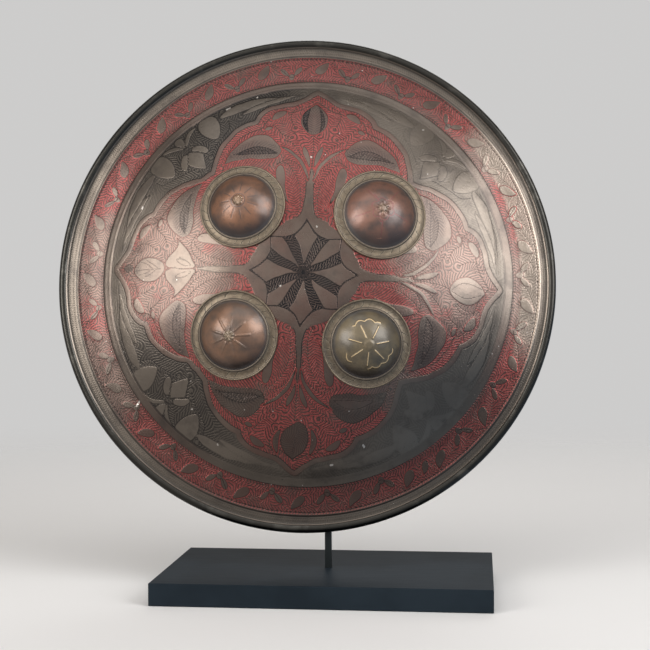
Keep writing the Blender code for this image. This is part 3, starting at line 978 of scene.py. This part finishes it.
def chased(name, radius, turn, dome):
    """The chasing on a boss: its rise and the distance to its bright lines, in millimetres."""
    r = radius * 1000
    rise, lines_off = 0 * r, np.full(r.shape, 9.0)

    def spokes(count, inner, outer, width, first=0.0):
        part = (turn * count / (2 * math.pi) + first) % 1.0 - 0.5
        across = np.abs(part) * 2 * math.pi / count * r
        past = np.maximum(np.maximum(inner - r, r - outer), 0)
        return np.hypot(across, past) - width / 2

    if name == "boss_top_left":
        rise = rise + 1.3 * step_between(5.2, 3.6, r)
        rise = rise + 0.40 * np.cos(8 * turn) * step_between(1.5, 3, r) * step_between(5, 4, r)
        cuts = np.minimum(spokes(11, 9, 17, 0.45), np.abs(r - 6.4) - 0.25)
        rise = rise - CHASED_CUT * step_between(0.6, 0, cuts)
        lines_off = cuts
    elif name == "boss_top_right":
        rise = rise + 0.9 * step_between(3.8, 2.2, r)
        rise = rise + 0.45 * np.cos(6 * turn) * step_between(2, 4, r) * step_between(7.5, 5.5, r)
        petals = np.abs(r - (8.0 + 2.6 * np.abs(np.cos(3 * turn)))) - 0.3
        stems = spokes(5, 12, 25, 0.45, 0.31)
        bow = np.abs(r - 12) - 0.4 + 3 * step_between(0.1, 0.25, np.abs(turn - 3.93))
        mark = np.minimum(spokes(1, 8, 16, 0.8, 0.28), bow)
        lines_off = np.minimum(np.minimum(petals, stems), mark)
        rise = rise - CHASED_CUT * step_between(0.6, 0, lines_off)
    elif name == "boss_bottom_left":
        ridge = spokes(9, 7, 18, 0.9)
        rise = rise + 0.50 * step_between(1.0, 0, ridge) * (1 - 0.5 * step_between(12, 19, r))
        rise = rise + 1.0 * step_between(5.4, 3.4, r)
        rise = rise + 0.50 * np.cos(7 * turn) * step_between(1.2, 2.4, r) * step_between(5.4, 4, r)
        lines_off = ridge + 0.5
    else:
        # seven gold rays and a broken scalloped edge of gold wire
        rays = spokes(7, 7.0, 18.5, 0.55, 0.383)
        shape = 20.4 + 2.0 * np.abs(np.sin(7 * turn + 0.8)) + 0.5 * np.sin(3 * turn)
        kept = np.maximum(np.cos(turn - math.radians(143)) - 0.80, np.cos(turn - math.radians(-2)) - 0.74)
        kept = np.maximum(kept, np.cos(turn - math.radians(263)) - 0.965)
        scallop = np.abs(r - shape) - 0.35 + 2.0 * step_between(0.02, -0.03, kept)
        lines_off = np.minimum(rays, scallop)
        rise = rise + 0.26 * step_between(0.7, 0, lines_off) + 0.5 * step_between(5.5, 3.0, r)
    hammered = 0.10 * waves(r * np.cos(turn), r * np.sin(turn), 13, 3.0)
    return (rise + hammered) * (r < dome * 1000 - 1.5), lines_off


def boss_lining(flange, dome):
    """Radius and height down the underside, and down the rivet to its clenched end in the bowl."""
    behind = -WALL - GAP
    return [
        (flange, seat_height(flange) + GAP),
        (0.5 * (flange + dome), seat_height(0.5 * (flange + dome)) + GAP),
        (dome - BOSS_SHEET, seat_height(dome) + GAP),
        (0.8 * dome, 0.42 * BOSS_RISE),
        (0.5 * dome, 0.76 * BOSS_RISE),
        (RIVET_RADIUS, BOSS_RISE - 2 * BOSS_SHEET),
        (RIVET_RADIUS, behind),
        (RIVET_END_RADIUS, behind),
        (0.97 * RIVET_END_RADIUS, behind - 0.25 * RIVET_END_HEIGHT),
        (0.82 * RIVET_END_RADIUS, behind - 0.62 * RIVET_END_HEIGHT),
        (0.55 * RIVET_END_RADIUS, behind - 0.90 * RIVET_END_HEIGHT),
        (0.25 * RIVET_END_RADIUS, behind - RIVET_END_HEIGHT),
    ]


def make_boss(name, distance, bearing, flange):
    dome = BOSS_DOME_SHARE * flange
    radius, height, lean = boss_section(flange)
    turn = 2 * math.pi * np.arange(BOSS_SIDES) / BOSS_SIDES
    R, T = np.meshgrid(radius[1:], turn, indexing="ij")
    rise, lines_off = chased(name, R, T, dome)
    H, A = np.repeat(height[1:, None], BOSS_SIDES, 1), np.repeat(lean[1:, None], BOSS_SIDES, 1)
    lines_off = np.where(R > dome, 9.0, lines_off)
    lift = rise / 1000
    R2 = R + lift * np.sin(A)
    H2 = H + lift * np.cos(A)
    top_lift = chased(name, np.array([1e-6]), np.array([0.0]), dome)[0][0] / 1000
    places = [(0.0, 0.0, height[0] + top_lift)]
    grid = np.column_stack([(R2 * np.cos(T)).ravel(), (R2 * np.sin(T)).ravel(), H2.ravel()])
    lining = boss_lining(flange, dome)
    under = [np.column_stack([r * np.cos(turn), r * np.sin(turn), np.full(BOSS_SIDES, h)]) for r, h in lining]
    places = np.vstack([np.array(places), grid] + under + [[(0.0, 0.0, -WALL - GAP - RIVET_END_HEIGHT)]])
    rows = len(radius) - 1 + len(lining)
    step = np.arange(BOSS_SIDES)
    after = np.roll(step, -1)
    faces = [(0, 1 + int(i), 1 + int(j)) for i, j in zip(step, after)]
    for k in range(rows - 1):
        a, b = 1 + k * BOSS_SIDES, 1 + (k + 1) * BOSS_SIDES
        faces += [(int(a + i), int(b + i), int(b + j), int(a + j)) for i, j in zip(step, after)]
    a, end = 1 + (rows - 1) * BOSS_SIDES, len(places) - 1
    faces += [(int(a + i), end, int(a + j)) for i, j in zip(step, after)]
    mesh = bpy.data.meshes.new(name + "_sheet")
    mesh.from_pydata(places.tolist(), [], faces)
    mesh.polygons.foreach_set("use_smooth", np.ones(len(faces), bool))
    work = np.full((len(places), 3), 9.0)
    b = math.radians(bearing)
    lie = T + b  # so that the finish knows the shield's own right and up
    laid = (lines_off, 1000 * (R * np.cos(lie)), 1000 * (R * np.sin(lie)))
    work[1 : 1 + R.size] = np.column_stack([part.ravel() for part in laid])
    work[0] = (9.0, 0.0, 0.0)
    carry(mesh, "work", work)
    mesh.validate()
    tilt = math.asin(distance / DOME_RADIUS)
    seat = float(face_height(np.array([distance]))[0][0])
    mesh.transform(
        shield_place
        @ Matrix.Translation((distance * math.cos(b), distance * math.sin(b), seat))
        @ Matrix.Rotation(b, 4, "Z")
        @ Matrix.Rotation(tilt, 4, "Y")
    )
    return placed(name + "_sheet", mesh)


def finish_boss(name, flange, crown, crown_dark, line_colour, knob_shine):
    """Copper gone brown, ruddy on the crown, with a brassy flange; the bead is painted paler as a highlight,
    the creases darker with dirt and painted shade, and the domes' lower sides darker as painted shade.
    """
    material, shader, place = new_finish(name)
    off, across, up = read(place, "work").parts()
    ring = (across * across + up * up).maths("SQRT")
    turn = up.maths("ARCTAN2", across)
    dome = BOSS_DOME_SHARE * flange * 1000
    edge = flange * 1000
    broad = place.noise(60.0, 4.0)
    middling = place.noise(240.0, 4.0, 0.6)
    fine = place.noise(1400.0, 2.0, 0.6)
    copper = broad.rise(0.35, 0.62).mix(crown_dark, crown)
    copper = (middling.rise(0.54, 0.7) * 0.5).mix(copper, crown_dark)
    copper = (ring.rise(5.4, 3.8) * knob_shine).mix(copper, (0.300, 0.225, 0.140))
    brass = middling.rise(0.3, 0.7).mix((0.140, 0.110, 0.080), (0.204, 0.164, 0.116))
    on_flange = ring.rise(dome + 0.1, dome + 0.5)
    colour = on_flange.mix(copper, brass)
    # the bead round the dome's foot is painted paler: a painted highlight
    bead = abs(ring - (dome + 0.9)).rise(0.9, 0.4)
    colour = (bead * 0.5).mix(colour, (0.22, 0.180, 0.145))
    line = (off + (fine - 0.5) * 0.5).rise(0.28, -0.05)
    colour = (line * 0.9).mix(colour, line_colour)
    # slanting strokes cut in pairs round the flange
    slant = abs((turn * 4.615 + broad * 2.0 + (ring - dome) * 0.10).fract() - 0.5) * ring * 0.2167
    from_middle = abs(ring - (0.5 * dome + 500 * flange))
    cut = slant.rise(0.42, 0.12) * from_middle.rise(3.1, 2.3) * middling.rise(0.36, 0.50)
    colour = (cut * 0.75).mix(colour, (0.040, 0.033, 0.026))
    # pale strokes between the cuts near the edge: a painted highlight on raised metal
    raised = abs(slant - 0.75).rise(0.35, 0.10) * on_flange * middling.rise(0.40, 0.55)
    raised = raised * ring.rise(edge - 2.4, edge - 3.0)
    colour = (raised * 0.45).mix(colour, (0.30, 0.27, 0.21))
    # dark rings in the creases at the dome's foot and by the flange's edge: partly dirt, partly painted shade
    crease_dirt_and_shade = abs(ring - (dome - 0.6)).rise(2.2, 0.2).most(abs(ring - (dome + 2.1)).rise(0.5, 0.1))
    crease_dirt_and_shade = crease_dirt_and_shade.most(abs(ring - (edge - 1.9)).rise(0.45, 0.1))
    crease_dirt_and_shade = crease_dirt_and_shade.most(abs(ring - (edge - 3.2)).rise(0.35, 0.1) * 0.6)
    colour = (crease_dirt_and_shade * 0.75).mix(colour, (0.018, 0.014, 0.012))
    # the domes are painted darker on their lower sides: painted shade
    under = (ring * 0.85 - up * 0.55).rise(0.80 * dome, 1.28 * dome) * (1.0 - on_flange)
    colour = (under * 0.85).mix(colour, (0.026, 0.020, 0.020))
    place.put(shader.inputs["Base Color"], colour)
    place.put(shader.inputs["Metallic"], 0.58 + on_flange * 0.37 - crease_dirt_and_shade * 0.3)
    rough = 0.43 + (middling - 0.5) * 0.16 + on_flange * 0.02 + crease_dirt_and_shade * 0.2
    place.put(shader.inputs["Coat Weight"], 0.80 - on_flange * 0.65 - under * 0.4)
    shader.inputs["Coat Roughness"].default_value = 0.32
    shader.inputs["IOR"].default_value = 1.85
    place.put(shader.inputs["Roughness"], rough)
    first = bump(line * 0.4 - cut, 0.0002)
    second = bump((middling - 0.5) * 0.6 + (fine - 0.5) * 0.3, 0.00012, first)
    place.put(shader.inputs["Normal"], second)
    return material


# the crown, the crown in its hollows, the chased lines, and how brassy the knob is
looks = {
    "boss_top_left": ((0.240, 0.102, 0.046), (0.088, 0.044, 0.026), (0.05, 0.030, 0.025), 0.45),
    "boss_top_right": ((0.195, 0.082, 0.050), (0.080, 0.046, 0.036), (0.19, 0.045, 0.042), 0.30),
    "boss_bottom_left": ((0.205, 0.098, 0.048), (0.088, 0.050, 0.030), (0.24, 0.165, 0.105), 0.5),
    "boss_bottom_right": ((0.130, 0.096, 0.046), (0.064, 0.049, 0.028), (0.58, 0.42, 0.22), 0.1),
}
for name, (distance, bearing, flange) in BOSSES.items():
    boss = make_boss(name, distance, bearing, flange)
    boss.data.materials.append(finish_boss(name + "_copper", flange, *looks[name]))
    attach(boss, "root")
    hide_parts(name)

# ---------------------------------------------------------------------------
# The stand's base. A plain wooden block, its edges just eased, under smooth satin black paint.
# A square socket in its top takes the rod.

base_low, base_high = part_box("stand_base")


def block_between(low, high):
    """The plain shape of a block between two of its corners."""
    shape = bmesh.new()
    bmesh.ops.create_cube(shape, size=1.0)
    for v in shape.verts:
        v.co = Vector(low[i] + (high[i] - low[i]) * (v.co[i] + 0.5) for i in range(3))
    return shape


def shaped(name, shape):
    """A new object of the scene from a shape."""
    mesh = bpy.data.meshes.new(name)
    shape.to_mesh(mesh)
    shape.free()
    return placed(name, mesh)


def plain_block(name, low, high, ease, cuts):
    """A block with eased edges and its faces cut up."""
    shape = block_between(low, high)
    bmesh.ops.bevel(shape, geom=shape.edges[:], offset=ease, segments=4, profile=0.5, affect="EDGES")
    long_edges = [e for e in shape.edges if e.calc_length() > 0.01]
    bmesh.ops.subdivide_edges(shape, edges=long_edges, cuts=cuts, use_grid_fill=True)
    return shaped(name, shape)


def worked(block, others, operation):
    """Join the other shapes to a block, or cut them out of it, and drop them."""
    for other in others:
        step = block.modifiers.new(other.name, "BOOLEAN")
        step.operation = operation
        step.object = other
        step.solver = "EXACT"
    bpy.context.view_layer.update()
    finished = block.evaluated_get(bpy.context.evaluated_depsgraph_get())
    made = bpy.data.meshes.new_from_object(finished)
    block.modifiers.clear()
    block.data = made
    for other in others:
        bpy.data.objects.remove(other, do_unlink=True)


def finish_black(name, tone, rough, dust, gloss):
    """Satin black paint, a little blue, with brush marks and dust."""
    material, shader, place = new_finish(name)
    broad = place.noise(14.0, 3.0)
    drag = place.noise(38.0, 3.0, 0.6, (1.0, 14.0, 14.0))
    fine = place.noise(900.0, 2.0)
    dark = tuple(0.75 * c for c in tone)
    colour = broad.rise(0.35, 0.65).mix(dark, tone)
    normal = place.node("NewGeometry").outputs["Normal"]
    up = Wire(place.tree, normal).parts()[2]
    settled = up.rise(0.6, 1.0) * place.cells(520.0).rise(0.16, 0.05) * fine.rise(0.5, 0.62)
    colour = (settled * dust).mix(colour, (0.20, 0.20, 0.19))
    place.put(shader.inputs["Base Color"], colour)
    place.put(shader.inputs["Roughness"], rough + (drag - 0.5) * 0.12 + settled * 0.3)
    shader.inputs["Specular IOR Level"].default_value = gloss
    place.put(shader.inputs["Normal"], bump((drag - 0.5) * 0.7 + (fine - 0.5) * 0.3, 0.00006))
    return material


ROD_SIDE = 0.006
ROD_X = -0.001
SOCKET_DEPTH = 0.012
BASE_EASE = 0.0009
base = plain_block("stand_base_block", base_low, base_high, BASE_EASE, 6)
half = ROD_SIDE / 2 + GAP
socket_low = (ROD_X - half, -half, base_high.z - SOCKET_DEPTH - GAP)
socket_high = (ROD_X + half, half, base_high.z + 0.01)
worked(base, [shaped("socket_cutter", block_between(socket_low, socket_high))], "DIFFERENCE")
base.data.materials.clear()
base.data.materials.append(finish_black("black_block_paint", (0.016, 0.023, 0.030), 0.46, 0.5, 0.03))
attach(base, "root")
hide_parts("stand_base")

# ---------------------------------------------------------------------------
# The rod: a square steel bar let into the block, with a round bar bent to the bowl's inside
# and welded across its top. The bowl hangs on the round bar and leans on the square one.

CROSS_BAR_RADIUS = 0.003
CROSS_BAR_REACH = 0.060
CROSS_BAR_UP = 0.1053
CROSS_BAR_CLEARANCE = 0.0006
WELD_SIZE = (0.0050, 0.0041, 0.0036)
WELD_DROP = 0.0012
ROD_EASE = 0.0005

rod_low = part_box("stand_rod")[0]


def inside_bowl(across, up, off):
    """The world point off the bowl's back by a distance, at a place on its face."""
    out = math.hypot(across, up)
    height, fall = (float(v[0]) for v in face_height(np.array([out])))
    reach = out - (WALL + off) * math.sin(fall)
    depth = height - (WALL + off) * math.cos(fall)
    return shield_place @ Vector((across * reach / out, up * reach / out, depth))


def bar_along(points, radius, sides, domed):
    """Places and faces of a round bar through points, with rounded ends."""
    places, faces = [], []
    path = [Vector(p) for p in points]
    first, last = (path[0] - path[1]).normalized(), (path[-1] - path[-2]).normalized()
    rows = []
    for share in (0.15, 0.6, 0.9):
        rows.append((path[0] + first * domed * (math.sqrt(1 - share**2) - 1), share, first * -1))
    for i, p in enumerate(path[1:-1], 1):
        rows.append((p, 1.0, (path[i + 1] - path[i - 1]).normalized()))
    for share in (0.9, 0.6, 0.15):
        rows.append((path[-1] + last * domed * (math.sqrt(1 - share**2) - 1), share, last))
    for centre, share, way in rows:
        right = way.cross(Vector((0, 0, 1))).normalized()
        up = right.cross(way)
        for k in range(sides):
            a = 2 * math.pi * k / sides
            places.append(centre + radius * share * (math.cos(a) * right + math.sin(a) * up))
    for r in range(len(rows) - 1):
        for k in range(sides):
            a, b = r * sides + k, r * sides + (k + 1) % sides
            faces.append((a, b, b + sides, a + sides))
    faces.append(tuple(range(sides))[::-1])
    faces.append(tuple(range((len(rows) - 1) * sides, len(rows) * sides)))
    return [tuple(p) for p in places], faces


def make_rod():
    off = CROSS_BAR_RADIUS + CROSS_BAR_CLEARANCE
    steps = 28
    points = [inside_bowl(CROSS_BAR_REACH * (2 * i / steps - 1), CROSS_BAR_UP, off) for i in range(steps + 1)]
    places, faces = bar_along(points, CROSS_BAR_RADIUS, 24, CROSS_BAR_RADIUS)
    mesh = bpy.data.meshes.new("cross_bar")
    mesh.from_pydata(places, [], faces)
    cross = placed("cross_bar", mesh)
    top = inside_bowl(ROD_X - SHIELD_MIDDLE[0], CROSS_BAR_UP, off)
    # the weld, a low uneven bead round the joint
    weld = bmesh.new()
    bmesh.ops.create_uvsphere(weld, u_segments=32, v_segments=20, radius=1.0)
    for v in weld.verts:
        ripple = 1 + 0.06 * math.sin(9 * math.atan2(v.co.y, v.co.x)) + 0.05 * math.sin(14 * v.co.z)
        v.co = Vector(v.co[i] * WELD_SIZE[i] * ripple for i in range(3))
        v.co += top - Vector((0, 0, WELD_DROP))
    bead = shaped("weld", weld)
    low = (ROD_X - ROD_SIDE / 2, -ROD_SIDE / 2, rod_low.z)
    high = (ROD_X + ROD_SIDE / 2, ROD_SIDE / 2, top.z)
    rod = plain_block("stand_rod_bar", low, high, ROD_EASE, 3)
    worked(rod, (cross, bead), "UNION")
    rod.data.polygons.foreach_set("use_smooth", np.ones(len(rod.data.polygons), bool))
    bpy.context.view_layer.objects.active = rod
    rod.data.set_sharp_from_angle(angle=math.radians(40))
    return rod


rod = make_rod()
rod.data.materials.clear()
rod.data.materials.append(finish_black("black_bar_paint", (0.016, 0.020, 0.021), 0.36, 0.3, 0.22))
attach(rod, "root")
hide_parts("stand_rod")

# ---------------------------------------------------------------------------
# The room. A pale floor that fades into a pale backdrop, two strong broad lights at the sides,
# and three weaker ones in front, above and behind.

FLOOR_REACH = 3.0


def make_floor():
    mesh = bpy.data.meshes.new("floor")
    turn = 2 * math.pi * np.arange(64) / 64
    ring = [(FLOOR_REACH * math.cos(a), FLOOR_REACH * math.sin(a), -0.0002) for a in turn]
    mesh.from_pydata(ring, [], [tuple(range(64))])
    floor = placed("floor", mesh)
    material, shader, place = new_finish("floor")
    x, y, _ = place.parts()
    out = (x * x + y * y).maths("SQRT")
    shader.inputs["Base Color"].default_value = (0.76, 0.756, 0.75, 1.0)
    shader.inputs["Roughness"].default_value = 0.75
    place.put(shader.inputs["Alpha"], out.rise(1.9, 0.42))
    mesh.materials.append(material)
    floor.visible_glossy = False


make_floor()


def soft_light(name, bearing, lift, distance, width, height, strength, colour=(1.0, 1.0, 1.0)):
    """A broad area light that faces the shield; bearing is from straight in front, to the right."""
    a, e = math.radians(bearing), math.radians(lift)
    aim = Vector(SHIELD_MIDDLE)
    way = Vector((math.sin(a) * math.cos(e), -math.cos(a) * math.cos(e), math.sin(e)))
    data = bpy.data.lights.new(name, "AREA")
    data.shape = "RECTANGLE"
    data.size, data.size_y = width, height
    data.energy = strength * width * height * math.pi
    data.color = colour
    lamp = placed(name, data)
    lamp.location = aim + way * distance
    lamp.rotation_mode = "QUATERNION"
    lamp.rotation_quaternion = way.to_track_quat("Z", "Y")


soft_light("left_window", -44, 16, 2.4, 1.15, 1.35, 6.0, (1.0, 0.97, 0.94))
soft_light("right_window", 56, 23, 2.4, 1.45, 1.55, 5.2, (0.99, 0.99, 1.0))
soft_light("front_soft", -4, 20, 2.6, 2.0, 1.4, 0.75)
soft_light("top_soft", 0, 60, 2.2, 2.6, 1.3, 1.35)
soft_light("back_soft", 172, 34, 2.6, 2.0, 1.4, 1.6)

world = bpy.data.worlds.new("room")
bpy.context.scene.world = world
world.use_nodes = True
tree = world.node_tree
tree.nodes.clear()
output = tree.nodes.new("ShaderNodeOutputWorld")
seen = tree.nodes.new("ShaderNodeBackground")
seen.inputs["Color"].default_value = (0.61, 0.605, 0.60, 1.0)
seen.inputs["Strength"].default_value = 1.0
around = tree.nodes.new("ShaderNodeBackground")
way = Wire(tree, tree.nodes.new("ShaderNodeTexCoord").outputs["Generated"])
across, _, up = way.parts()
low = up.rise(0.30, -0.05)
below = across.rise(-0.15, 0.60).mix((0.520, 0.500, 0.485), (0.285, 0.350, 0.430))
way.put(around.inputs["Color"], low.mix((0.345, 0.325, 0.305), below))
around.inputs["Strength"].default_value = 1.0
pick = tree.nodes.new("ShaderNodeMixShader")
path = tree.nodes.new("ShaderNodeLightPath")
tree.links.new(path.outputs["Is Camera Ray"], pick.inputs[0])
tree.links.new(around.outputs[0], pick.inputs[1])
tree.links.new(seen.outputs[0], pick.inputs[2])
tree.links.new(pick.outputs[0], output.inputs["Surface"])

# ---------------------------------------------------------------------------
# The camera, to the shield's right and a little below its middle.

CAMERA_PLACE = (0.1379, -1.2314, 0.2629)

camera_data = bpy.data.cameras.new("camera")
camera_data.lens = 74.4
camera_data.sensor_width = 36.0
camera = placed("camera", camera_data)
yaw, pitch, roll = math.radians(6.54), math.radians(-0.88), math.radians(-0.25)
ahead = Vector((-math.sin(yaw) * math.cos(pitch), math.cos(yaw) * math.cos(pitch), math.sin(pitch)))
level = Vector((math.cos(yaw), math.sin(yaw), 0))
upward = level.cross(ahead)
right = math.cos(roll) * level + math.sin(roll) * upward
top = -math.sin(roll) * level + math.cos(roll) * upward
camera.matrix_world = Matrix.Translation(CAMERA_PLACE) @ Matrix(
    (right, top, -ahead)
).transposed().to_4x4()
bpy.context.scene.camera = camera
bpy.context.scene.view_settings.view_transform = "Standard"
